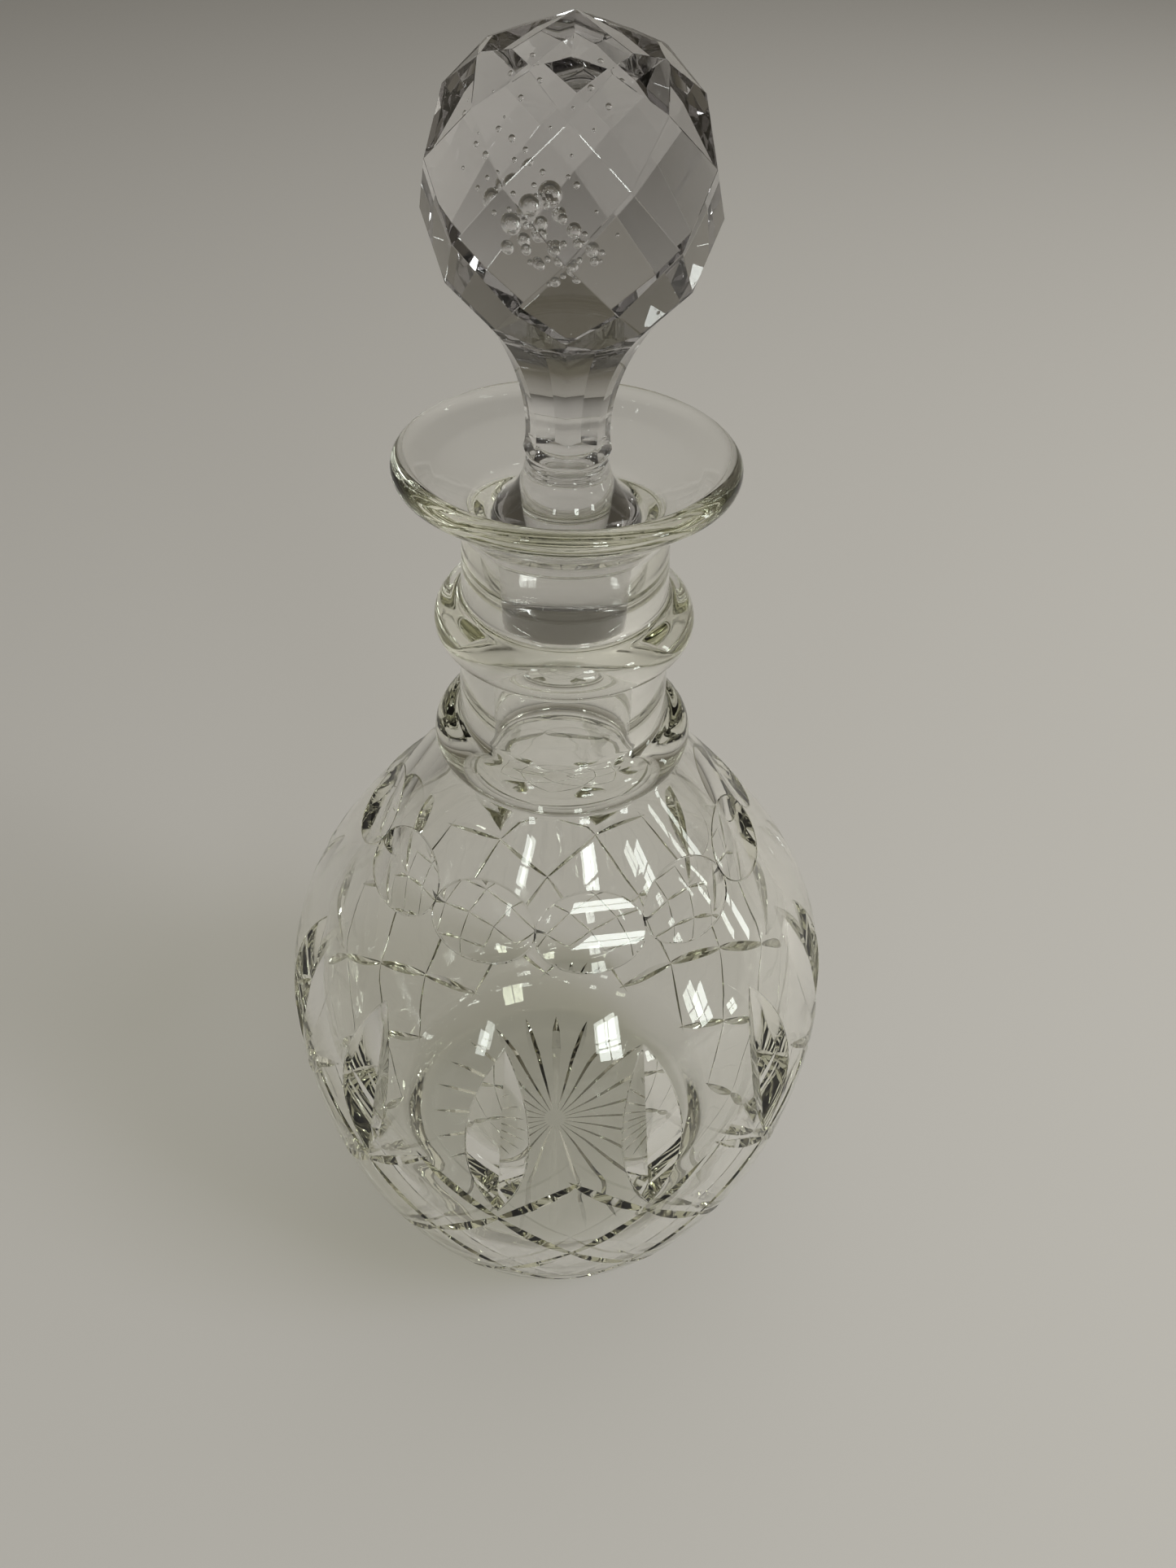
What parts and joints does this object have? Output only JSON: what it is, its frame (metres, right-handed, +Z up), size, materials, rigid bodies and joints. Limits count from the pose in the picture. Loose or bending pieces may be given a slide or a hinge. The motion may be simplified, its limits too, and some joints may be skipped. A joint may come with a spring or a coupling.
{
  "type": "decanter with stopper",
  "caption": "Globe-bodied cut glass decanter with ringed neck, flared lip and a lift-out faceted ball stopper.",
  "frame": {"origin": "centre of the flat base, on the surface the decanter stands on", "axes": "+Z up along the axis of the bottle, -Y towards the front"},
  "size_m": [0.1236, 0.1236, 0.2705],
  "materials": {
    "crystal": "clear polished lead glass, wheel cut",
    "stopper_crystal": "faintly grey polished lead glass, faceted"
  },
  "bodies": {
    "decanter": {"vessel": "crystal", "upper_neck_ring": "crystal", "lower_neck_ring": "crystal"},
    "stopper": {"stopper": "stopper_crystal"}
  },
  "joints": [
    {"name": "stopper_lift", "type": "slide", "parent": "decanter", "child": "stopper", "axis": [0, 0, 1], "range_m": [0, 0.04]}
  ]
}
